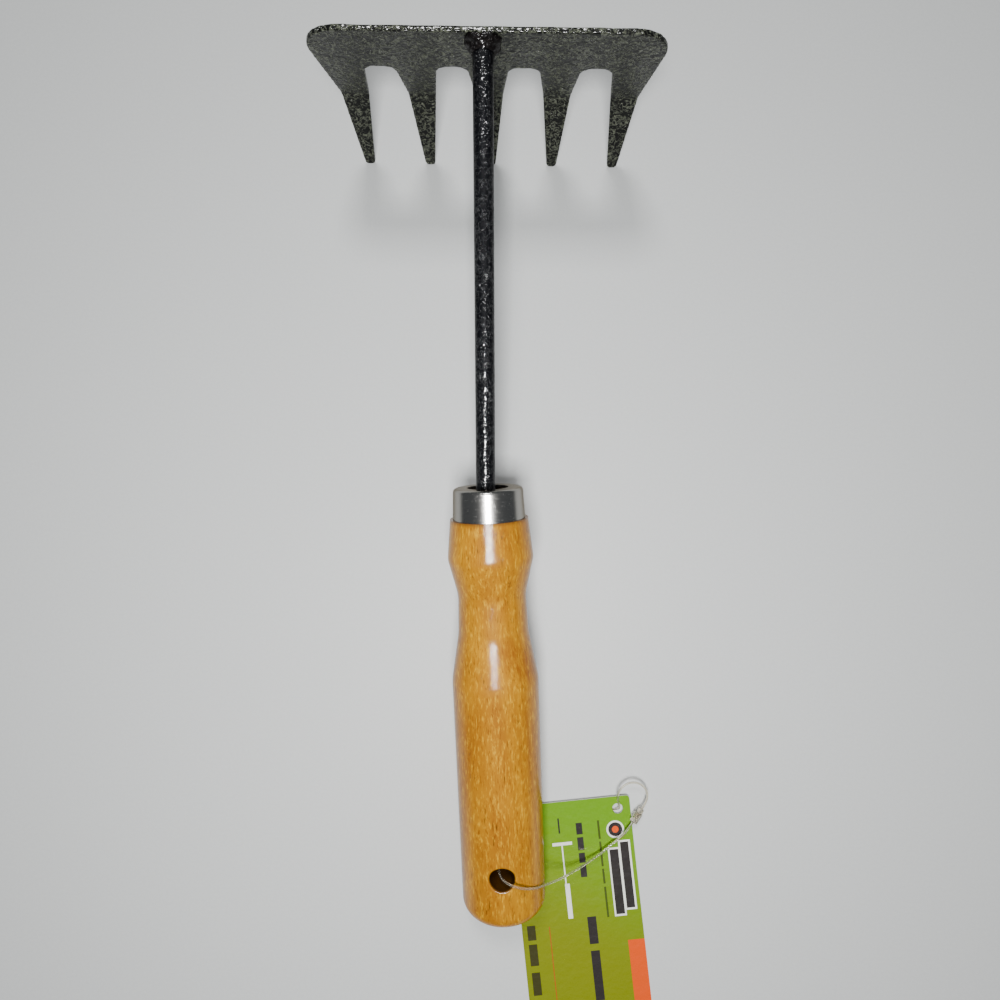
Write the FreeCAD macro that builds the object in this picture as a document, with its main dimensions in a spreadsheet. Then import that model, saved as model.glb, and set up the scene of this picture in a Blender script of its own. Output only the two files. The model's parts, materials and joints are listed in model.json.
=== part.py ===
import FreeCAD, Part
import math
import os
import Sketcher
from FreeCAD import Placement, Rotation, Vector

# A five-tine hand rake: a bent steel head welded to a round rod, whose tang sits in a turned
# wooden handle with a steel ferrule. A card tag hangs on a nylon loop through the hang hole.
#
# The tool's pieces are drawn straight: X to the right, Y along the rod from the butt of the
# handle (0) to the head, Z away from the tines. REST then lays them on the table, on the tine
# tips and the butt. The row frame has +Z up, Z = 0 on the table, and its origin under the
# middle of the tool. The tag, the loop and its lock are placed in the row frame.

DIMENSIONS = {
    # handle, along Y, with radii
    "grip_radius": 15.0,
    "butt_round": 5.0,
    "grip_end": 87.0,
    "neck_start": 103.5,
    "neck_radius": 12.1,
    "waist_end": 117.0,
    "waist_radius": 11.6,
    "bulge_place": 129.5,
    "bulge_radius": 14.6,
    "shoulder_place": 143.0,
    "shoulder_radius": 13.2,
    "tenon_radius": 11.35,
    "tenon_end": 149.6,
    "tenon_end_radius": 10.8,
    "profile_round": 16.0,
    "bulge_round": 7.0,
    "hang_hole_place": 20.0,
    "hang_hole_radius": 4.25,
    "hang_hole_rim": 0.7,
    "handle_skew": 1.96,
    "handle_offset": 0.85,
    "skew_place": 150.0,
    # ferrule
    "ferrule_base_radius": 12.25,
    "ferrule_end_radius": 11.75,
    "ferrule_end": 153.4,
    "ferrule_wall": 0.9,
    "ferrule_round": 1.2,
    "ferrule_hole_radius": 6.9,
    # rod
    "shank_radius": 3.25,
    "tang_start": 60.0,
    "tang_chamfer": 0.8,
    "drill_point": 1.6,
    # head: the upper plate leans by upper_lean, the tines by tine_lean
    "plate_place": 292.2,
    "plate_top": 4.7,
    "plate_thickness": 1.8,
    "upper_height": 42.0,
    "tine_length": 32.0,
    "upper_lean": 1.0,
    "tine_lean": 28.4,
    "bend_radius": 4.0,
    "head_offset": 1.0,
    "head_turn": -1.35,
    "head_half_width": 57.1,
    "head_corner": 12.0,
    "head_corner_round": 11.4,
    "tine_pitch": 24.3,
    "tip_width": 3.6,
    "tip_round": 1.6,
    "gap_root_drop": 22.2,
    "gap_half_width": 5.0,
    "gap_root_round": 4.3,
    # weld bead round the rod's end
    "bead_start": 288.1,
    "bead_radius": 5.7,
    "bead_lip": 0.47,
    "bead_round": 1.4,
    # tag card, its top edge curled up a little
    "tag_width": 46.4,
    "tag_length": 90.0,
    "tag_thickness": 0.35,
    "tag_curl_length": 28.0,
    "tag_curl_radius": 244.0,
    "tag_corner": 1.5,
    "tag_hole_radius": 2.0,
    "tag_hole_inset": 4.9,
    "tag_turn": 6.0,
    "tag_corner_x": 52.7,
    "tag_corner_y": -112.2,
    # nylon loop and its snap lock
    "cord_radius": 0.4,
    "lock_x": 53.7,
    "lock_y": -121.6,
    "lock_z": 4.3,
    "lock_turn": -34.6,
    "socket_radius": 1.5,
    "socket_length": 4.2,
    "plug_radius": 1.15,
    "plug_length": 1.8,
    "barb_radius": 0.85,
    "barb_length": 2.6,
}

TINES = 5
SAME_PLACE = 0.01   # two places no further apart than this are one
SHORT_EDGE = 1.5    # an edge across the plate or the card is shorter than this many thicknesses
BEND_SHARE = 0.45   # how much of each straight run of the loop goes into a bend

# The loop's route in the row frame, from the socket over the tag and the handle, down the hang
# hole, under the tag, up through its hole and round to the plug.
LOOP_ROUTE = [
    (53.7, -121.6, 4.3),
    (51.3, -125.1, 4.3),
    (47.4, -128.6, 4.2),
    (41.0, -133.6, 4.6),
    (34.0, -137.0, 6.8),
    (26.9, -138.2, 12.6),
    (20.2, -136.8, 20.8),
    (14.2, -134.2, 30.0),
    (7.9, -130.6, 35.6),
    (3.2, -129.0, 32.4),
    (3.0, -127.6, 23.0),
    (3.1, -126.2, 15.5),
    (2.9, -124.8, 8.5),
    (3.6, -123.6, 0.42),
    (8.7, -122.4, 0.42),
    (15.2, -122.1, 0.42),
    (24.2, -121.1, 0.42),
    (33.7, -120.3, 0.42),
    (41.7, -119.5, 0.42),
    (48.0, -118.2, 0.42),
    (49.1, -116.8, 2.9),
    (47.6, -112.3, 5.4),
    (48.6, -108.4, 6.4),
    (52.0, -106.0, 6.4),
    (56.1, -106.4, 5.8),
    (59.0, -109.3, 5.0),
    (59.4, -113.4, 4.3),
    (57.11, -116.66, 4.3),
]


def make_sheet(doc):
    """The spreadsheet of driving dimensions, one aliased cell each."""
    sheet = doc.addObject("Spreadsheet::Sheet", "dims")
    for row, (alias, value) in enumerate(DIMENSIONS.items(), start=1):
        sheet.set(f"A{row}", alias)
        sheet.set(f"B{row}", str(value))
        sheet.setAlias(f"B{row}", alias)
    doc.recompute()
    return sheet


def make_body(doc, label):
    body = doc.addObject("PartDesign::Body", label)
    body.Label = label
    return body


def origin_plane(body, role):
    return next(item for item in body.Origin.OriginFeatures if item.Role == role)


def attached_sketch(body, name, role):
    sketch = body.newObject("Sketcher::SketchObject", name)
    sketch.AttachmentSupport = [(origin_plane(body, role), "")]
    sketch.MapMode = "FlatFace"
    return sketch


def bind_point(sketch, geometry, end, place):
    """Tie a point's two coordinates to two expressions."""
    for kind, axis, expression in zip(("DistanceX", "DistanceY"), (-2, -1), place):
        if expression == "0":
            sketch.addConstraint(Sketcher.Constraint("PointOnObject", geometry, end, axis))
            continue
        value = float(sketch.evalExpression(expression))
        index = sketch.addConstraint(Sketcher.Constraint(kind, -1, 1, geometry, end, value))
        sketch.setExpression(f"Constraints[{index}]", expression)


def polygon(body, name, role, corners):
    """A closed outline on an origin plane; each corner is a pair of expressions."""
    sketch = attached_sketch(body, name, role)
    places = [Vector(*(float(sketch.evalExpression(e)) for e in corner)) for corner in corners]
    for start, end in zip(places, places[1:] + places[:1]):
        sketch.addGeometry(Part.LineSegment(start, end), False)
    count = len(corners)
    for side in range(count):
        sketch.addConstraint(Sketcher.Constraint("Coincident", side, 2, (side + 1) % count, 1))
    for side, corner in enumerate(corners):
        bind_point(sketch, side, 1, corner)
    return sketch


def circle(body, name, role, centre, radius):
    """A round outline on an origin plane, its centre and radius given as expressions."""
    sketch = attached_sketch(body, name, role)
    middle = Vector(*(float(sketch.evalExpression(e)) for e in centre))
    size = float(sketch.evalExpression(radius))
    sketch.addGeometry(Part.Circle(middle, Vector(0, 0, 1), size), False)
    bind_point(sketch, 0, 3, centre)
    index = sketch.addConstraint(Sketcher.Constraint("Radius", 0, size))
    sketch.setExpression(f"Constraints[{index}]", radius)
    return sketch


def revolve(doc, body, sketch, kind="PartDesign::Revolution"):
    """Turn a profile of (radius, place) corners about the sketch's Y axis, to add or to cut."""
    feature = body.newObject(kind, "turned")
    feature.Profile = sketch
    feature.ReferenceAxis = (sketch, ["V_Axis"])
    feature.Angle = 360
    doc.recompute()
    return feature


def pad(doc, body, sketch, length):
    """Extrude a profile equally to both sides."""
    feature = body.newObject("PartDesign::Pad", "pad")
    feature.Profile = sketch
    feature.SideType = "Symmetric"
    feature.setExpression("Length", length)
    doc.recompute()
    return feature


def cut_through(doc, body, sketch, name="cut"):
    """Cut a profile through the whole body, both ways, and make sure that it cuts."""
    before = body.Shape.Volume
    feature = body.newObject("PartDesign::Pocket", name)
    feature.Profile = sketch
    feature.Type = "ThroughAll"
    feature.SideType = "Symmetric"
    doc.recompute()
    if body.Shape.Volume >= before:
        raise RuntimeError(f"{body.Label}: {name} removes nothing")
    return feature


def find_edges(shape, wanted):
    """The names of the edges for which wanted(edge) is true."""
    return [f"Edge{i}" for i, edge in enumerate(shape.Edges, start=1) if wanted(edge)]


def fillet(doc, body, wanted, radius, kind="Fillet"):
    """Round, or chamfer, the body's edges for which wanted(edge) is true."""
    base = body.Tip
    names = find_edges(base.Shape, wanted)
    if not names:
        raise RuntimeError(f"{body.Label}: no edge to treat with {radius}")
    feature = body.newObject(f"PartDesign::{kind}", kind.lower())
    feature.Base = (base, names)
    feature.setExpression("Radius" if kind == "Fillet" else "Size", radius)
    doc.recompute()
    return feature


def ring_at(place, radius):
    """Picks the circular edge about the Y axis at a place along it."""

    def wanted(edge):
        curve = edge.Curve
        round_edge = isinstance(curve, Part.Circle) and abs(curve.Radius - radius) < SAME_PLACE
        return round_edge and abs(curve.Center.y - place) < SAME_PLACE

    return wanted


def skew_placement(size):
    """The handle and its ferrule stand a little askew and off-centre on the rod."""
    pivot, aside = Vector(0, size.skew_place, 0), Vector(size.handle_offset, 0, 0)
    return Placement(aside, Rotation(Vector(0, 0, 1), size.handle_skew), pivot)


def head_placement(size):
    """The head is welded on a little to one side and not quite square."""
    pivot, aside = Vector(0, size.plate_place, 0), Vector(size.head_offset, 0, 0)
    return Placement(aside, Rotation(Vector(0, 0, 1), size.head_turn), pivot)


def make_handle(doc, size):
    """Turned wooden handle with a bore for the tang, a tenon for the ferrule and a hang hole."""
    body = make_body(doc, "handle")
    profile = polygon(body, "profile", "XY_Plane", [
        ("0", "0"),
        ("dims.grip_radius", "0"),
        ("dims.grip_radius", "dims.grip_end"),
        ("dims.neck_radius", "dims.neck_start"),
        ("dims.waist_radius", "dims.waist_end"),
        ("dims.bulge_radius", "dims.bulge_place"),
        ("dims.shoulder_radius", "dims.shoulder_place"),
        ("dims.tenon_radius", "dims.shoulder_place"),
        ("dims.tenon_end_radius", "dims.tenon_end"),
        ("0", "dims.tenon_end"),
    ])
    revolve(doc, body, profile)
    fillet(doc, body, ring_at(0, size.grip_radius), "dims.butt_round")
    fillet(doc, body, ring_at(size.grip_end, size.grip_radius), "dims.profile_round")
    fillet(doc, body, ring_at(size.neck_start, size.neck_radius), "dims.profile_round")
    fillet(doc, body, ring_at(size.waist_end, size.waist_radius), "dims.profile_round")
    fillet(doc, body, ring_at(size.bulge_place, size.bulge_radius), "dims.bulge_round")
    hole = circle(body, "hang_hole", "XY_Plane", ("0", "dims.hang_hole_place"),
                  "dims.hang_hole_radius")
    cut_through(doc, body, hole, "hang_hole_cut")

    def rim(edge):
        box = edge.BoundBox
        same_width = abs(box.YLength - 2 * size.hang_hole_radius) < size.hang_hole_rim / 2
        over_hole = abs(box.Center.y - size.hang_hole_place) < size.hang_hole_rim
        return over_hole and same_width and box.ZLength < size.hang_hole_radius

    fillet(doc, body, rim, "dims.hang_hole_rim")
    bore = polygon(body, "tang_bore", "XY_Plane", [
        ("0", "dims.tenon_end + dims.shank_radius"),
        ("dims.shank_radius", "dims.tenon_end + dims.shank_radius"),
        ("dims.shank_radius", "dims.tang_start"),
        ("0", "dims.tang_start - dims.drill_point"),
    ])
    bore.AttachmentOffset = skew_placement(size).inverse()
    revolve(doc, body, bore, "PartDesign::Groove")
    return body


def make_ferrule(doc, size):
    """Thin steel cup over the tenon, with a hole in its end."""
    body = make_body(doc, "ferrule")
    cap = "dims.ferrule_end - dims.ferrule_wall"
    profile = polygon(body, "profile", "XY_Plane", [
        ("dims.tenon_radius", "dims.shoulder_place"),
        ("dims.ferrule_base_radius", "dims.shoulder_place"),
        ("dims.ferrule_end_radius", "dims.ferrule_end"),
        ("dims.ferrule_hole_radius", "dims.ferrule_end"),
        ("dims.ferrule_hole_radius", cap),
        ("dims.tenon_end_radius", cap),
        ("dims.tenon_end_radius", "dims.tenon_end"),
    ])
    revolve(doc, body, profile)
    fillet(doc, body, ring_at(size.ferrule_end, size.ferrule_end_radius), "dims.ferrule_round")
    return body


def trim_at_plate(doc, body):
    """Cut off what would reach past the front face of the head's upper plate."""
    lean = "dims.plate_place - (dims.plate_top - {0}) * tan(dims.upper_lean)"
    high = "dims.head_corner"
    low = "-dims.head_corner"
    beyond = "dims.plate_place + dims.head_corner"
    profile = polygon(body, "plate_side", "YZ_Plane", [
        (lean.format(low), low),
        (beyond, low),
        (beyond, high),
        (lean.format(high), high),
    ])
    cut_through(doc, body, profile, "plate_trim")


def make_shank(doc, size):
    """Round rod from its tang in the handle to the head."""
    body = make_body(doc, "shank")
    profile = polygon(body, "profile", "XY_Plane", [
        ("0", "dims.tang_start"),
        ("dims.shank_radius", "dims.tang_start"),
        ("dims.shank_radius", "dims.plate_place + dims.plate_thickness"),
        ("0", "dims.plate_place + dims.plate_thickness"),
    ])
    revolve(doc, body, profile)
    fillet(doc, body, ring_at(size.tang_start, size.shank_radius), "dims.tang_chamfer", "Chamfer")
    trim_at_plate(doc, body)
    return body


def make_weld_bead(doc, size):
    """Ring of weld in the corner between the rod and the plate."""
    body = make_body(doc, "weld_bead")
    wide_place = size.plate_place - size.bead_round
    profile = polygon(body, "profile", "XY_Plane", [
        ("dims.shank_radius", "dims.bead_start"),
        ("dims.shank_radius + dims.bead_lip", "dims.bead_start"),
        ("dims.bead_radius", "dims.plate_place - dims.bead_round"),
        ("dims.bead_radius", "dims.plate_place + dims.plate_thickness"),
        ("dims.shank_radius", "dims.plate_place + dims.plate_thickness"),
    ])
    revolve(doc, body, profile)
    fillet(doc, body, ring_at(wide_place, size.bead_radius), "dims.bead_round")
    trim_at_plate(doc, body)
    return body


def head_side():
    """Corners of the bent plate seen from the side, as (Y, Z) expressions: front, then back."""
    upper, tine = "dims.upper_lean", "dims.tine_lean"
    front_top = ("dims.plate_place", "dims.plate_top")
    front_bend = (f"{front_top[0]} - dims.upper_height * sin({upper})",
                  f"{front_top[1]} - dims.upper_height * cos({upper})")
    front_tip = (f"{front_bend[0]} - dims.tine_length * sin({tine})",
                 f"{front_bend[1]} - dims.tine_length * cos({tine})")
    mean, half = f"(({upper} + {tine}) / 2)", f"(({tine} - {upper}) / 2)"
    back_bend = (f"{front_bend[0]} + dims.plate_thickness * cos{mean} / cos{half}",
                 f"{front_bend[1]} - dims.plate_thickness * sin{mean} / cos{half}")
    back_top = (f"{front_top[0]} + dims.plate_thickness * cos({upper})",
                f"{front_top[1]} - dims.plate_thickness * sin({upper})")
    back_tip = (f"{front_tip[0]} + dims.plate_thickness * cos({tine})",
                f"{front_tip[1]} - dims.plate_thickness * sin({tine})")
    return [front_top, front_bend, front_tip, back_tip, back_bend, back_top]


def make_rake_head(doc, size):
    """Plate bent lengthwise, with slanting ends and five tines left between four gaps."""
    body = make_body(doc, "rake_head")
    side = head_side()
    strip = polygon(body, "bent_side", "YZ_Plane", side)
    pad(doc, body, strip, "2 * dims.head_half_width")
    bends = [[float(strip.evalExpression(e)) for e in side[i]] for i in (1, 4)]

    def bend_line(edge, bend):
        middle = edge.CenterOfMass
        along = edge.BoundBox.XLength > size.head_half_width
        return along and math.hypot(middle.y - bend[0], middle.z - bend[1]) < SAME_PLACE

    front, back = bends
    fillet(doc, body, lambda edge: bend_line(edge, front), "dims.bend_radius")
    fillet(doc, body, lambda edge: bend_line(edge, back), "dims.bend_radius + dims.plate_thickness")

    tip = side[3][1]
    below = f"{tip} - dims.tip_width"
    outer_tip = f"{TINES - 1} / 2 * dims.tine_pitch + dims.tip_width / 2"
    for name, sign in (("left", "-"), ("right", "")):
        slant = polygon(body, f"{name}_slant", "XZ_Plane", [
            (f"{sign}dims.head_half_width", "dims.plate_top - dims.head_corner"),
            (f"{sign}({outer_tip})", tip),
            (f"{sign}({outer_tip})", below),
            (f"{sign}(dims.head_half_width + dims.tip_width)", below),
            (f"{sign}(dims.head_half_width + dims.tip_width)", "dims.plate_top - dims.head_corner"),
        ])
        cut_through(doc, body, slant, f"{name}_slant_cut")

    def top_corner(edge):
        middle = edge.CenterOfMass
        short = edge.Length < SHORT_EDGE * size.plate_thickness
        return short and abs(middle.x) > size.head_half_width - SAME_PLACE and middle.z > 0

    fillet(doc, body, top_corner, "dims.head_corner_round")
    make_gaps(doc, body, size, tip, below)

    def tip_corner(edge):
        middle, box = edge.CenterOfMass, edge.BoundBox
        low = middle.z < float(strip.evalExpression(tip)) + size.plate_thickness
        across = box.XLength < size.plate_thickness / 2
        return low and across and edge.Length < SHORT_EDGE * size.plate_thickness

    fillet(doc, body, tip_corner, "dims.tip_round")
    return body


def make_gaps(doc, body, size, tip, below):
    """One gap between tines, wide at the tips and round at its root, repeated at the pitch."""
    gaps = TINES - 1
    centre = f"(1 - {gaps}) / 2 * dims.tine_pitch"
    root = "dims.plate_top - dims.gap_root_drop"
    half_tip = "(dims.tine_pitch - dims.tip_width) / 2"
    gap = polygon(body, "gap", "XZ_Plane", [
        (f"{centre} - dims.gap_half_width", root),
        (f"{centre} - {half_tip}", tip),
        (f"{centre} - {half_tip}", below),
        (f"{centre} + {half_tip}", below),
        (f"{centre} + {half_tip}", tip),
        (f"{centre} + dims.gap_half_width", root),
    ])
    cut = cut_through(doc, body, gap, "gap_cut")
    pattern = body.newObject("PartDesign::LinearPattern", "gaps")
    pattern.Originals = [cut]
    pattern.Direction = (gap, ["H_Axis"])
    pattern.setExpression("Length", f"{gaps - 1} * dims.tine_pitch")
    pattern.Occurrences = gaps
    body.Tip = pattern
    doc.recompute()
    root_height = size.plate_top - size.gap_root_drop

    def root_corner(edge):
        middle, box = edge.CenterOfMass, edge.BoundBox
        short = box.XLength < SAME_PLACE and edge.Length < SHORT_EDGE * size.plate_thickness
        inside = abs(middle.x) < size.head_half_width - size.head_corner
        return short and inside and abs(middle.z - root_height) < size.plate_thickness / 2

    fillet(doc, body, root_corner, "dims.gap_root_round")


def make_tag_card(doc, size):
    """Card with a hole near one corner, flat but for its curled top edge."""
    body = make_body(doc, "tag_card")
    sketch = attached_sketch(body, "side", "YZ_Plane")
    body.Placement = Placement(
        Vector(size.tag_corner_x, size.tag_corner_y, 0), Rotation(Vector(0, 0, 1), size.tag_turn))
    bend = size.tag_curl_length / size.tag_curl_radius
    outer, inner = size.tag_curl_radius, size.tag_curl_radius - size.tag_thickness
    centre = Vector(-size.tag_curl_length, outer, 0)
    up = Vector(0, 0, 1)
    start, end = math.radians(270), math.radians(270) + bend
    lower = Part.ArcOfCircle(Part.Circle(centre, up, outer), start, end)
    upper = Part.ArcOfCircle(Part.Circle(centre, up, inner), start, end)
    foot = Vector(-size.tag_length, 0, 0)
    foot_top = Vector(-size.tag_length, size.tag_thickness, 0)
    lines = [
        Part.LineSegment(foot, lower.StartPoint),
        lower,
        Part.LineSegment(lower.EndPoint, upper.EndPoint),
        upper,
        Part.LineSegment(upper.StartPoint, foot_top),
        Part.LineSegment(foot_top, foot),
    ]
    for line in lines:
        sketch.addGeometry(line, False)
    for first, end_1, second, end_2 in ((0, 2, 1, 1), (1, 2, 2, 1), (2, 2, 3, 2), (3, 1, 4, 1),
                                        (4, 2, 5, 1), (5, 2, 0, 1)):
        sketch.addConstraint(Sketcher.Constraint("Coincident", first, end_1, second, end_2))
    sketch.addConstraint(Sketcher.Constraint("Coincident", 1, 3, 3, 3))
    bind_point(sketch, 0, 1, ("-dims.tag_length", "0"))
    bind_point(sketch, 5, 1, ("-dims.tag_length", "dims.tag_thickness"))
    bind_point(sketch, 1, 1, ("-dims.tag_curl_length", "0"))
    bind_point(sketch, 1, 3, ("-dims.tag_curl_length", "dims.tag_curl_radius"))
    sketch.addConstraint(Sketcher.Constraint("Horizontal", 4))
    feature = body.newObject("PartDesign::Pad", "pad")
    feature.Profile = sketch
    feature.Reversed = True
    feature.setExpression("Length", "dims.tag_width")
    doc.recompute()
    hole = circle(body, "hole", "XY_Plane",
                  ("-dims.tag_hole_inset", "-dims.tag_hole_inset"), "dims.tag_hole_radius")
    cut_through(doc, body, hole, "hole_cut")
    fillet(doc, body, lambda edge: edge.Length < SHORT_EDGE * size.tag_thickness, "dims.tag_corner")
    return body


def lock_placement(size):
    """The lock lies level, its Y axis from the socket's rear to the plug's."""
    return Placement(Vector(size.lock_x, size.lock_y, size.lock_z),
                     Rotation(Vector(0, 0, 1), size.lock_turn))


def make_lock_socket(doc, size):
    """Barrel of the snap lock, open at its front for the barb."""
    body = make_body(doc, "loop_lock_socket")
    bottom = "dims.socket_length - dims.barb_length"
    profile = polygon(body, "profile", "XY_Plane", [
        ("0", "0"),
        ("dims.socket_radius", "0"),
        ("dims.socket_radius", "dims.socket_length"),
        ("dims.barb_radius", "dims.socket_length"),
        ("dims.barb_radius", bottom),
        ("0", bottom),
    ])
    revolve(doc, body, profile)
    fillet(doc, body, ring_at(0, size.socket_radius), "dims.cord_radius")
    body.Placement = lock_placement(size)
    return body


def make_lock_plug(doc, size):
    """Plug of the snap lock: a collar and the barb inside the socket."""
    body = make_body(doc, "loop_lock_plug")
    end = "dims.socket_length + dims.plug_length"
    profile = polygon(body, "profile", "XY_Plane", [
        ("0", "dims.socket_length - dims.barb_length + dims.cord_radius"),
        ("dims.barb_radius / 2", "dims.socket_length - dims.barb_length + dims.cord_radius"),
        ("dims.barb_radius", "dims.socket_length - dims.barb_length / 2"),
        ("dims.barb_radius", "dims.socket_length"),
        ("dims.plug_radius", "dims.socket_length"),
        ("dims.plug_radius", end),
        ("0", end),
    ])
    revolve(doc, body, profile)
    fillet(doc, body, ring_at(size.socket_length + size.plug_length, size.plug_radius),
           "dims.cord_radius")
    body.Placement = lock_placement(size)
    return body


def rounded_route(points):
    """Straight runs joined by tangent arcs, as edges, with the arcs' radii."""
    edges, radii = [], []
    start = points[0]
    for before, point, after in zip(points, points[1:], points[2:]):
        back, onward = before - point, after - point
        half_turn = (math.pi - back.getAngle(onward)) / 2
        cut = BEND_SHARE * min(back.Length, onward.Length)
        radii.append(cut / math.tan(half_turn))
        enter = point + back.normalize() * cut
        leave = point + onward.normalize() * cut
        inward = (back + onward).normalize()
        apex = point + inward * radii[-1] * (1 / math.cos(half_turn) - 1)
        edges.append(Part.LineSegment(start, enter).toShape())
        edges.append(Part.Arc(enter, apex, leave).toShape())
        start = leave
    edges.append(Part.LineSegment(start, points[-1]).toShape())
    return edges, radii


def make_tag_loop(doc, size):
    """The nylon strand, swept along the rounded route."""
    points = [Vector(*point) for point in LOOP_ROUTE]
    edges, radii = rounded_route(points)
    path = Part.Wire(edges)
    section = Part.Wire(Part.Circle(points[0], points[1] - points[0], size.cord_radius).toShape())
    tube = path.makePipeShell([section], True, False)
    expected = math.pi * size.cord_radius ** 2 * path.Length
    if abs(tube.Volume / expected - 1) > 0.01:
        raise RuntimeError(f"tag_loop: volume {tube.Volume:.2f}, expected {expected:.2f}")
    print("loop length", round(path.Length, 1), "radii", [round(radius, 1) for radius in radii])
    feature = doc.addObject("Part::Feature", "tag_loop")
    feature.Shape = tube
    feature.Label = "tag_loop"
    feature.Placement = Placement()
    return feature


class Sizes:
    """The sheet's values as attributes."""

    def __init__(self, sheet):
        for alias in DIMENSIONS:
            setattr(self, alias, float(sheet.get(alias)))


def rest_placement(size, head, bodies):
    """Lay the tool on its tine tips and its butt, centred over the origin."""
    tip = [float(head.evalExpression(e)) for e in head_side()[3]]
    outer = (TINES - 1) / 2 * size.tine_pitch + size.tip_width / 2
    corners = [head_placement(size).multVec(Vector(x, *tip)) for x in (-outer, outer)]
    lower = min(corners, key=lambda corner: corner.y)
    back_tip = [lower.y, lower.z]
    round_y = skew_placement(size).multVec(Vector(0, size.butt_round, 0)).y
    round_z = size.butt_round - size.grip_radius
    along, down = back_tip[0] - round_y, round_z - back_tip[1]
    tilt = math.atan2(down, along) - math.asin(size.butt_round / math.hypot(along, down))
    turn = Rotation(Vector(1, 0, 0), math.degrees(tilt))
    lowest = turn.multVec(Vector(0, *back_tip)).z
    boxes = []
    for body in bodies:
        shape = body.Shape.copy()
        shape.Placement = Placement(Vector(), turn) * body.Placement
        boxes.append(shape.optimalBoundingBox(False, False))
    middle_x = (min(box.XMin for box in boxes) + max(box.XMax for box in boxes)) / 2
    middle_y = (min(box.YMin for box in boxes) + max(box.YMax for box in boxes)) / 2
    shift = Vector(-middle_x, -middle_y, -lowest)
    print("tilt", round(math.degrees(tilt), 3), "shift", [round(v, 3) for v in shift])
    return Placement(shift, turn)


def check(doc, parts):
    for item in doc.Objects:
        if "Invalid" in item.State or "Error" in item.State:
            raise RuntimeError(f"{item.Name} failed: {item.State}")
    for part in parts:
        shape = part.Shape
        if shape.isNull() or not shape.isValid() or not shape.Solids:
            raise RuntimeError(f"{part.Label}: no valid solid")


def main():
    doc = FreeCAD.newDocument("hand_rake")
    size = Sizes(make_sheet(doc))
    head = make_rake_head(doc, size)
    handle, ferrule = make_handle(doc, size), make_ferrule(doc, size)
    handle.Placement = ferrule.Placement = skew_placement(size)
    head.Placement = head_placement(size)
    tool = [handle, ferrule, make_shank(doc, size), make_weld_bead(doc, size), head]
    rest = rest_placement(size, head, tool)
    for body in tool:
        body.Placement = rest * body.Placement
    hung = [make_tag_card(doc, size), make_tag_loop(doc, size), make_lock_socket(doc, size),
            make_lock_plug(doc, size)]
    doc.recompute()
    check(doc, tool + hung)
    os.makedirs("parts", exist_ok=True)
    for part in tool + hung:
        part.Shape.exportStep(f"parts/{part.Label}.step")
        box = part.Shape.BoundBox
        print(part.Label, [round(v, 1) for v in (box.XMin, box.XMax, box.YMin, box.YMax,
                                                 box.ZMin, box.ZMax)])


main()
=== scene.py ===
"""Looks of the hand rake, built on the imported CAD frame. Metres, in the row frame."""
import json
import math

import bmesh
import bpy
from mathutils import Matrix, Vector, noise


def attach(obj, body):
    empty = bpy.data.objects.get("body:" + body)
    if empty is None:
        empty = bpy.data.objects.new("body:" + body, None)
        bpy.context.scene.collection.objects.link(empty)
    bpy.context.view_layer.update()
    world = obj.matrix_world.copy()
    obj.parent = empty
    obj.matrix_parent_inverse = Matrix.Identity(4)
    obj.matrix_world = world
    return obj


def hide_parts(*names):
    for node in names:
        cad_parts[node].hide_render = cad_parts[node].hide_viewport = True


MM = 0.001

CAMERA_PLACE = (0.00705, -0.01204, 0.27596)
CAMERA_FORWARD = (-0.0139, 0.0482, -0.9987)
CAMERA_UP = (0.0015, 0.9989, 0.0482)
CAMERA_LENS = 25.13

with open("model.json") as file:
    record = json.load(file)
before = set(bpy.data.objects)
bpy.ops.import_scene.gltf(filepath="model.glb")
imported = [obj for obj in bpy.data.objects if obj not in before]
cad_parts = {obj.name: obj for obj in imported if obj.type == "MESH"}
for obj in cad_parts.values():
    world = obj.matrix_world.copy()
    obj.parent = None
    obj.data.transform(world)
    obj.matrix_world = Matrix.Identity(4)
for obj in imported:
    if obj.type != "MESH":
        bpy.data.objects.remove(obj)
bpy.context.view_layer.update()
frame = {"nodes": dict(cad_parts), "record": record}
nodes = frame["nodes"]
record = frame["record"]


# Camera ---------------------------------------------------------------------------------------

def look_from(place, forward, up, lens):
    """A camera at a place, looking along forward with up towards the top of the picture."""
    data = bpy.data.cameras.new("camera")
    data.lens = lens
    data.clip_start = 0.01
    camera = bpy.data.objects.new("camera", data)
    back = -Vector(forward).normalized()
    right = Vector(up).cross(back).normalized()
    rotation = Matrix((right, back.cross(right), back)).transposed()
    camera.matrix_world = Matrix.Translation(place) @ rotation.to_4x4()
    bpy.context.collection.objects.link(camera)
    bpy.context.scene.camera = camera


look_from(CAMERA_PLACE, CAMERA_FORWARD, CAMERA_UP, CAMERA_LENS)


# Materials ------------------------------------------------------------------------------------

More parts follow.
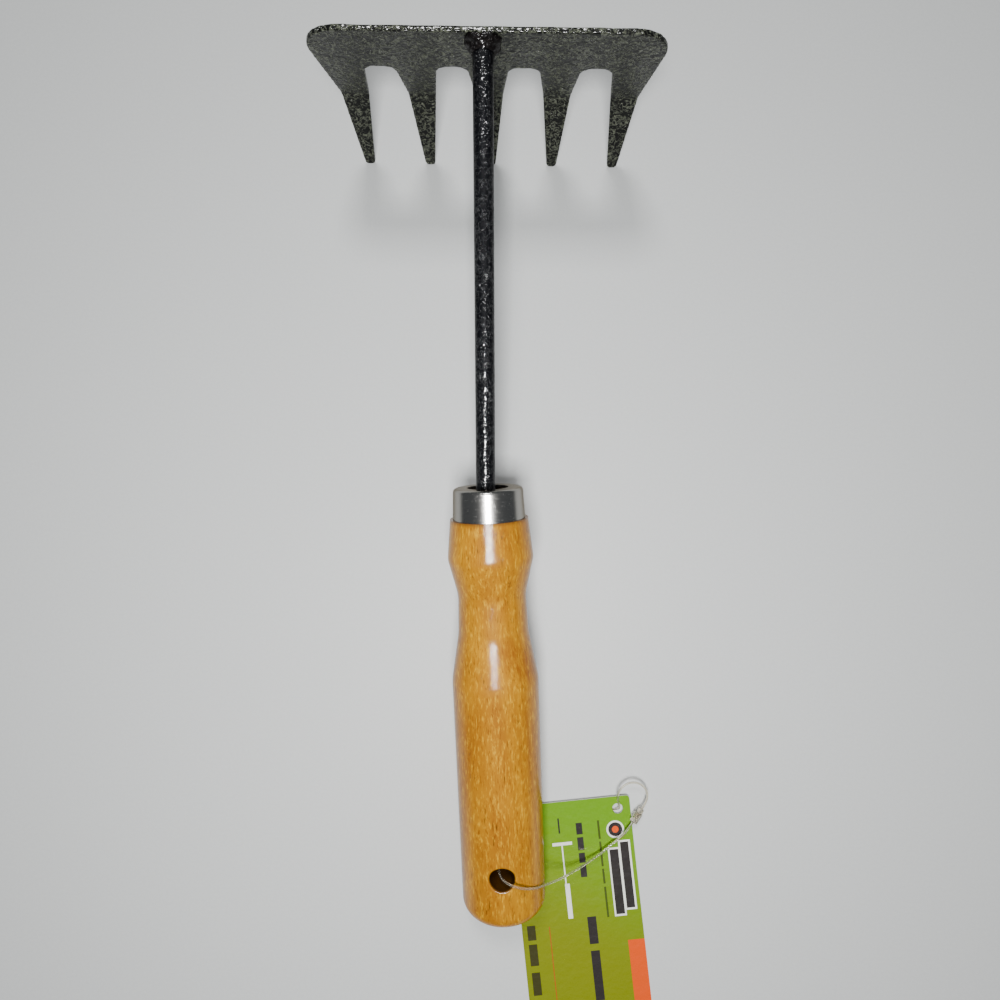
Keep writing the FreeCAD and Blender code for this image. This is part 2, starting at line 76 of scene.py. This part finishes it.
class Finish:
    """A material's nodes, added one call at a time around its Principled shader."""

    def __init__(self, name, **sockets):
        self.material = bpy.data.materials.new(name)
        self.material.use_nodes = True
        self.tree = self.material.node_tree
        self.shader = self.tree.nodes["Principled BSDF"]
        for socket, value in sockets.items():
            self.set(self.shader, socket.replace("_", " "), value)

    def set(self, node, socket, value):
        if isinstance(value, bpy.types.NodeSocket):
            self.tree.links.new(value, node.inputs[socket])
        else:
            if isinstance(value, (tuple, list)) and len(node.inputs[socket].default_value) == 4:
                value = (*value[:3], 1.0)
            node.inputs[socket].default_value = value

    def add(self, kind, inputs, output=0, **settings):
        node = self.tree.nodes.new(f"ShaderNode{kind}")
        for name, value in settings.items():
            setattr(node, name, value)
        for socket, value in inputs.items():
            self.set(node, socket, value)
        return node.outputs[output]

    def math(self, operation, first, second=0.0, third=0.0):
        return self.add("Math", {0: first, 1: second, 2: third}, operation=operation)

    def remap(self, value, low, high, to_low=0.0, to_high=1.0):
        sockets = {"Value": value, "From Min": low, "From Max": high,
                   "To Min": to_low, "To Max": to_high}
        return self.add("MapRange", sockets, interpolation_type="SMOOTHSTEP")

    def mix(self, factor, first, second):
        return self.add("Mix", {0: factor, 6: first, 7: second}, output=2, data_type="RGBA")

    def place(self, origin=(0, 0, 0), rotation=(0, 0, 0), scale=(1, 1, 1), vector=None):
        """Coordinates from an origin, along turned axes, in units of scale."""
        vector = vector or self.add("TexCoord", {}, output=3)
        sockets = {"Vector": vector, "Location": origin, "Rotation": rotation, "Scale": scale}
        return self.add("Mapping", sockets, vector_type="TEXTURE")

    def noise(self, vector, scale, detail=2.0, roughness=0.5, distortion=0.0):
        sockets = {"Vector": vector, "Scale": scale, "Detail": detail,
                   "Roughness": roughness, "Distortion": distortion}
        return self.add("TexNoise", sockets)

    def facing_up(self):
        """The upward share of the surface's normal, in the row frame."""
        normal = self.add("TexCoord", {}, output=1)
        return self.add("SeparateXYZ", {"Vector": normal}, output=2)

    def bump(self, height, distance, strength=1.0, socket="Normal"):
        """Fine relief; distance in metres."""
        sockets = {"Height": height, "Distance": distance, "Strength": strength}
        normal = self.add("Bump", sockets)
        self.set(self.shader, socket, normal)
        return normal


def hammertone(name, dark, light, width, contrast):
    """Hammered enamel: pale worm-like veins on a dark ground, glossiest where it faces up.

    The veins run where a twisted noise crosses its middle; width says how far to either side
    of that they reach, and contrast how much of the strongest vein the weakest keeps.
    """
    f = Finish(name, Coat_Roughness=0.07, Specular_IOR_Level=0.12)
    here = f.place()
    f.set(f.shader, "Coat Weight", f.remap(f.facing_up(), 0.7, 0.95, 0.12, 1.0))
    swirl = f.noise(here, 620.0, 1.2, 0.5, 0.9)
    from_line = f.math("ABSOLUTE", f.math("SUBTRACT", swirl, 0.5))
    vein = f.remap(from_line, 0.0, width, 1.0, 0.0)
    patchy = f.remap(f.noise(here, 300.0, 2.0), 0.35, 0.6, contrast, 1.0)
    vein = f.math("MULTIPLY", vein, patchy)
    fleck = f.remap(f.noise(here, 1900.0, 1.0), 0.45, 0.62)
    vein = f.math("MULTIPLY", vein, f.math("MULTIPLY_ADD", fleck, 0.45, 0.6))
    f.set(f.shader, "Base Color", f.mix(vein, dark, light))
    f.set(f.shader, "Roughness", f.remap(vein, 0.0, 1.0, 0.34, 0.18))
    height = f.math("ADD", vein, f.noise(here, 500.0, 1.0))
    normal = f.bump(height, 0.00030, 1.0)
    f.set(f.shader, "Coat Normal", normal)
    return f.material


def steel_finish():
    """Drawn and polished steel, with fine scratches round it and a few dull specks."""
    f = Finish("polished_steel", Base_Color=(0.38, 0.37, 0.35), Metallic=1.0,
               Specular_Tint=(0.32, 0.29, 0.25))
    axis = Vector(record["mounts"][1]["axis"])
    turn = Vector((0, 1, 0)).rotation_difference(axis).to_euler()
    along = f.place(record["mounts"][1]["pos_m"], turn)
    lines = f.noise(f.place(scale=(9.0, 0.25, 9.0), vector=along), 1500.0, 3.0, 0.6)
    specks = f.remap(f.noise(along, 900.0, 2.0), 0.52, 0.7)
    rough = f.math("MULTIPLY_ADD", lines, 0.14, 0.13)
    rough = f.math("MULTIPLY_ADD", specks, 0.07, rough)
    f.set(f.shader, "Roughness", rough)
    f.bump(f.math("MULTIPLY_ADD", specks, 0.5, lines), 0.00002, 0.6)
    return f.material


AMBER, HONEY = (0.26, 0.098, 0.0012), (0.36, 0.158, 0.0020)
RING_BROWN, FIBRE_BROWN = (0.18, 0.052, 0.001), (0.15, 0.042, 0.001)
FLAME_GOLD = (0.62, 0.34, 0.010)
PORE_BROWN, PATCH_BROWN = (0.055, 0.018, 0.003), (0.17, 0.045, 0.003)
# Painted shade colours: a dark brown at and inside the ferrule's seam, and a near-black inside the
# hang hole.
SEAM_SHADE_BROWN, HOLE_SHADE_BROWN = (0.10, 0.035, 0.006), (0.02, 0.007, 0.002)


def wood_finish():
    """Golden hardwood with lengthwise figure, short dark pores and a thick clear varnish."""
    f = Finish("varnished_wood", Coat_Weight=0.5, Coat_Roughness=0.08, Roughness=0.5,
               Specular_IOR_Level=0.1)
    grip, hole = record["mounts"][1], record["mounts"][0]
    turn = Vector((0, 1, 0)).rotation_difference(Vector(grip["axis"])).to_euler()
    along = f.place(grip["pos_m"], turn)
    wander = f.noise(f.place(scale=(1, 5, 1), vector=along), 90.0, 2.0)
    bent = f.add("VectorMath", {0: along, 1: f.math("MULTIPLY", wander, 0.006)}, operation="ADD")
    rings = f.add("TexWave", {
        "Vector": f.place((0.034, 0, -0.052), (0.05, 0, 0.03), vector=bent),
        "Scale": 96.0, "Distortion": 1.4, "Detail": 2.0, "Detail Scale": 0.6,
    }, output=1, wave_type="RINGS", rings_direction="Y")
    fibre = f.noise(f.place(scale=(1, 7, 1), vector=bent), 2000.0, 3.0, 0.65)
    flame = f.noise(f.place(scale=(1, 4, 1), vector=bent), 1250.0, 3.0, 0.65)
    broad = f.noise(f.place(scale=(1, 2.5, 1), vector=along), 75.0, 2.0)
    colour = f.mix(f.remap(broad, 0.3, 0.7), AMBER, HONEY)
    colour = f.mix(f.math("MULTIPLY", rings, 0.3), colour, RING_BROWN)
    colour = f.mix(f.remap(flame, 0.48, 0.75, 0.0, 0.6), colour, FLAME_GOLD)
    colour = f.mix(f.remap(fibre, 0.48, 0.3, 0.0, 0.75), colour, FIBRE_BROWN)
    pores = f.noise(f.place(scale=(1, 14, 1), vector=bent), 2300.0, 1.0)
    sparse = f.remap(f.noise(along, 260.0, 1.0), 0.5, 0.68)
    pore = f.math("MULTIPLY", f.remap(pores, 0.63, 0.70), sparse)
    colour = f.mix(f.math("MULTIPLY", pore, 0.8), colour, PORE_BROWN)
    patch = f.place((0.0085, 0.046, 0.009), (0, 0, 0.6), (0.0055, 0.015, 0.02), vector=along)
    patch = f.add("TexGradient", {"Vector": patch}, output=1, gradient_type="SPHERICAL")
    patch = f.math("MULTIPLY", f.remap(patch, 0.0, 0.7), f.remap(flame, 0.3, 0.6, 0.75, 0.35))
    colour = f.mix(patch, colour, PATCH_BROWN)
    # Painted shade: the wood turns dark brown at the ferrule's shoulder and on into the ferrule.
    level = f.add("SeparateXYZ", {"Vector": along}, output=1)
    seam_shade = f.remap(level, 0.0915, 0.0932)
    colour = f.mix(f.math("MULTIPLY", seam_shade, 0.75), colour, SEAM_SHADE_BROWN)
    # Painted shade: the wood goes near-black inside the hang hole.
    hole_turn = Vector((0, 0, 1)).rotation_difference(Vector(hole["axis"])).to_euler()
    across = f.place(hole["pos_m"], hole_turn, (1, 1, 1e4))
    hole_shade = f.remap(f.add("VectorMath", {0: across}, output=1, operation="LENGTH"), 0.0049, 0.0042)
    colour = f.mix(f.math("MULTIPLY", hole_shade, 0.93), colour, HOLE_SHADE_BROWN)
    f.set(f.shader, "Base Color", colour)
    f.bump(f.math("MULTIPLY_ADD", pore, -1.0, f.math("MULTIPLY", fibre, 0.4)), 0.0001, 0.5)
    relief = f.math("MULTIPLY_ADD", fibre, 0.5, f.math("MULTIPLY_ADD", pore, -0.5, flame))
    relief = f.math("ADD", relief, f.noise(along, 2600.0, 1.0))
    f.bump(relief, 0.00010, 0.45, socket="Coat Normal")
    return f.material


# Prints on the card, in millimetres from its top right corner: left, right, top and bottom as
# the printed side is read from there towards the left and down, then the ink.
INK, PALE, ORANGE = (0.018, 0.014, 0.016), (0.72, 0.72, 0.66), (0.62, 0.062, 0.0005)
# The olive green is painted shade on the lime card.
LIME, OLIVE_SHADE, BARE_CARD = (0.105, 0.25, 0.0006), (0.145, 0.17, 0.0006), (0.66, 0.67, 0.60)
CARD_TURN = math.radians(6)
HOLE_INSET = 4.9
BARS = [
    (23.7, 31.3, 15.9, 17.1, PALE), (27.4, 27.9, 17.1, 31.7, PALE),
    (26.3, 28.1, 31.7, 44.8, PALE), (27.8, 28.4, 6.5, 12.4, INK),
    (-1.0, 6.4, 54.8, 91.0, ORANGE), (35.6, 36.0, 47.0, 84.0, (0.30, 0.08, 0.002)),
    (1.5, 6.1, 17.3, 43.6, PALE), (5.7, 10.3, 19.8, 45.6, PALE),
    (2.2, 5.4, 18.0, 42.9, INK), (6.3, 9.7, 20.5, 44.9, INK),
]
DISC_CENTRE = (6.6, 12.9)
DISCS = [(3.4, PALE), (2.7, INK), (1.3, ORANGE)]
# Broken lines that stand for text: left, right, ink, and the start and end of each stretch.
LINES = [
    (19.2, 21.6, INK, [(9.0, 13.5), (14.6, 19.6), (20.6, 24.4), (25.4, 29.8)]),
    (12.5, 13.3, (0.04, 0.06, 0.004), [(8.8, 16.0), (17.0, 26.5), (27.4, 33.0), (34.2, 45.6)]),
    (17.6, 21.0, INK, [(44.8, 55.0), (57.5, 76.0)]),
    (41.2, 44.4, (0.03, 0.028, 0.006), [(46.0, 51.5), (53.0, 61.0), (63.5, 72.0)]),
]


def card_finish():
    """Glossy printed card: plain bars, a small rake and an orange panel on lime green."""
    f = Finish("tag_card", Coat_Weight=0.35, Coat_Roughness=0.1, Roughness=0.45,
               Specular_IOR_Level=0.2)
    hole = record["behaviour"]["joints"][0]["pos_m"]
    here = f.place(hole, (0, 0, CARD_TURN), (-MM, -MM, MM))
    split = f.add("SeparateXYZ", {"Vector": here})
    u = f.math("ADD", split, HOLE_INSET)
    v = f.math("ADD", split.node.outputs[1], HOLE_INSET)
    # Painted shade: the lime turns darker and olive towards the card's left and bottom.
    card_shade = f.remap(f.math("MULTIPLY_ADD", u, 0.5, v), 10.0, 75.0)
    colour = f.mix(card_shade, LIME, OLIVE_SHADE)

    def inside(left, right, top, bottom):
        across = f.math("COMPARE", u, (left + right) / 2, (right - left) / 2)
        down = f.math("COMPARE", v, (top + bottom) / 2, (bottom - top) / 2)
        return f.math("MULTIPLY", across, down)

    def disc(radius):
        spot = f.add("CombineXYZ", {0: f.math("SUBTRACT", u, DISC_CENTRE[0]),
                                    1: f.math("SUBTRACT", v, DISC_CENTRE[1])})
        length = f.add("VectorMath", {0: spot}, output=1, operation="LENGTH")
        return f.math("LESS_THAN", length, radius)

    for *edges, ink in BARS:
        colour = f.mix(inside(*edges), colour, ink)
    for radius, ink in DISCS:
        colour = f.mix(disc(radius), colour, ink)
    for left, right, ink, stretches in LINES:
        for start, end in stretches:
            colour = f.mix(inside(left, right, start, end), colour, ink)
    printed = f.math("GREATER_THAN", f.facing_up(), 0.3)
    colour = f.mix(printed, BARE_CARD, colour)
    paper = f.noise(here, 2.2, 3.0)
    colour = f.mix(f.remap(paper, 0.35, 0.75, 0.0, 0.14), colour, (0.05, 0.06, 0.003))
    f.set(f.shader, "Base Color", colour)
    f.bump(f.noise(here, 0.35, 2.0), 0.0006, 0.35)
    return f.material


def nylon_finish():
    """Clear nylon, a little milky."""
    f = Finish("clear_nylon", Transmission_Weight=0.93, IOR=1.45)
    cloud = f.noise(f.place(), 500.0, 2.0)
    f.set(f.shader, "Base Color", f.mix(cloud, (0.66, 0.60, 0.46), (0.86, 0.82, 0.70)))
    f.set(f.shader, "Roughness", f.remap(cloud, 0.3, 0.7, 0.05, 0.16))
    return f.material


nylon = nylon_finish()
plate_enamel = hammertone("plate_enamel", dark=(0.0022, 0.0024, 0.0018),
                          light=(0.125, 0.135, 0.098), width=0.085, contrast=0.75)
rod_enamel = hammertone("rod_enamel", dark=(0.0010, 0.0010, 0.0018),
                        light=(0.016, 0.017, 0.019), width=0.06, contrast=0.35)
weld_enamel = hammertone("weld_enamel", dark=(0.0025, 0.0018, 0.0018),
                         light=(0.016, 0.011, 0.010), width=0.05, contrast=0.3)


# Cord -----------------------------------------------------------------------------------------

CORD_RADIUS = 0.4 * MM
LOOP_ROUTE_MM = [
    (53.7, -121.6, 4.3), (51.3, -125.1, 4.3), (47.4, -128.6, 4.2), (41.0, -133.6, 4.6),
    (34.0, -137.0, 6.8), (26.9, -138.2, 12.6), (20.2, -136.8, 20.8), (14.2, -134.2, 30.0),
    (7.9, -130.6, 35.6), (3.2, -129.0, 32.4), (3.0, -127.6, 23.0), (3.1, -126.2, 15.5),
    (2.9, -124.8, 8.5), (3.6, -123.6, 0.42), (8.7, -122.4, 0.42), (15.2, -122.1, 0.42),
    (24.2, -121.1, 0.42), (33.7, -120.3, 0.42), (41.7, -119.5, 0.42), (48.0, -118.2, 0.42),
    (49.1, -116.8, 2.9), (47.6, -112.3, 5.4), (48.6, -108.4, 6.4), (52.0, -106.0, 6.4),
    (56.1, -106.4, 5.8), (59.0, -109.3, 5.0), (59.4, -113.4, 4.3), (57.11, -116.66, 4.3),
]


def make_loop():
    """The nylon loop: through the handle's hole, under the tag, up through it and to its lock."""
    curve = bpy.data.curves.new("swing_loop", "CURVE")
    curve.dimensions = "3D"
    curve.bevel_depth = CORD_RADIUS
    curve.bevel_resolution = 4
    curve.use_fill_caps = True
    spline = curve.splines.new("NURBS")
    spline.points.add(len(LOOP_ROUTE_MM) - 1)
    for point, place in zip(spline.points, LOOP_ROUTE_MM):
        point.co = (*(Vector(place) * MM), 1.0)
    spline.order_u = 3
    spline.use_endpoint_u = True
    spline.resolution_u = 12
    loop = bpy.data.objects.new("swing_loop", curve)
    bpy.context.collection.objects.link(loop)
    curve.materials.append(nylon)
    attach(loop, "tool")
    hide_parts("tag_loop")


make_loop()


# Pieces ---------------------------------------------------------------------------------------

def rounded_copy(name, node, voxel, passes):
    """A copy of a CAD node's mesh as a fine even skin, with its edges rounded as by thick paint."""
    work = bmesh.new()
    work.from_mesh(nodes[node].data)
    bmesh.ops.remove_doubles(work, verts=work.verts, dist=0.001 * MM)
    rough = bpy.data.meshes.new(name)
    work.to_mesh(rough)
    work.free()
    piece = bpy.data.objects.new(name, rough)
    bpy.context.collection.objects.link(piece)
    remesh = piece.modifiers.new("skin", "REMESH")
    remesh.mode = "VOXEL"
    remesh.voxel_size = voxel
    smooth = piece.modifiers.new("round", "SMOOTH")
    smooth.factor = 0.5
    smooth.iterations = passes
    graph = bpy.context.evaluated_depsgraph_get()
    piece.data = bpy.data.meshes.new_from_object(piece.evaluated_get(graph))
    piece.modifiers.clear()
    piece.data.name = name
    piece.data.polygons.foreach_set("use_smooth", [True] * len(piece.data.polygons))
    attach(piece, "tool")
    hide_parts(node)
    return piece


def paint(piece, finish):
    """One finish all over a piece."""
    piece.data.materials.clear()
    piece.data.materials.append(finish)


def swell(piece, heights):
    """Move each point along its normal by heights(place)."""
    normals = [vertex.normal.copy() for vertex in piece.data.vertices]
    for vertex, normal in zip(piece.data.vertices, normals):
        vertex.co += normal * heights(vertex.co)


def enamel_height(place):
    """Unevenness of the head's enamel."""
    return 0.03 * MM * noise.noise(place * 700)


def weld_height(place):
    """Broad and small lumps of the weld."""
    lumps = noise.noise(place * 330) * 0.9 + noise.noise(place * 800) * 0.35
    return lumps * MM


head = rounded_copy("head_plate", "rake_head", 0.36 * MM, 5)
swell(head, enamel_height)
paint(head, plate_enamel)

weld = rounded_copy("weld_lumps", "weld_bead", 0.2 * MM, 6)
swell(weld, weld_height)
paint(weld, weld_enamel)

for node, finish in {
    "shank": rod_enamel, "ferrule": steel_finish(), "handle": wood_finish(),
    "tag_card": card_finish(), "loop_lock_socket": nylon, "loop_lock_plug": nylon,
}.items():
    nodes[node].data.materials.clear()
    nodes[node].data.materials.append(finish)


# Stage ----------------------------------------------------------------------------------------

def make_floor():
    """A plain pale floor, a hair below the table height so that nothing lies in it."""
    half, low = 2.0, -0.02 * MM
    mesh = bpy.data.meshes.new("floor")
    corners = [(-half, -half, low), (half, -half, low), (half, half, low), (-half, half, low)]
    mesh.from_pydata(corners, [], [(0, 1, 2, 3)])
    floor = bpy.data.objects.new("floor", mesh)
    bpy.context.collection.objects.link(floor)
    f = Finish("floor", Roughness=0.5, Specular_IOR_Level=0.3)
    grain = f.noise(f.place(), 900.0, 2.0)
    f.set(f.shader, "Base Color", f.mix(grain, (0.45, 0.46, 0.455), (0.50, 0.51, 0.505)))
    mesh.materials.append(f.material)


def add_lamp(name, place, target, size, power):
    """A soft square lamp that faces a target."""
    data = bpy.data.lights.new(name, "AREA")
    data.size = size
    data.energy = power
    lamp = bpy.data.objects.new(name, data)
    lamp.location = place
    lamp.rotation_euler = (Vector(target) - Vector(place)).to_track_quat("-Z", "Y").to_euler()
    bpy.context.collection.objects.link(lamp)


make_floor()
add_lamp("over_lamp", (-0.002, -0.085, 0.42), (0, 0, 0), 0.08, 3.3)
add_lamp("far_lamp", (-0.05, 0.55, 0.9), (0, 0.05, 0), 0.20, 6.0)
world = bpy.data.worlds.new("room")
world.use_nodes = True
world.node_tree.nodes["Background"].inputs["Color"].default_value = (0.80, 0.86, 0.92, 1.0)
world.node_tree.nodes["Background"].inputs["Strength"].default_value = 0.15
bpy.context.scene.world = world
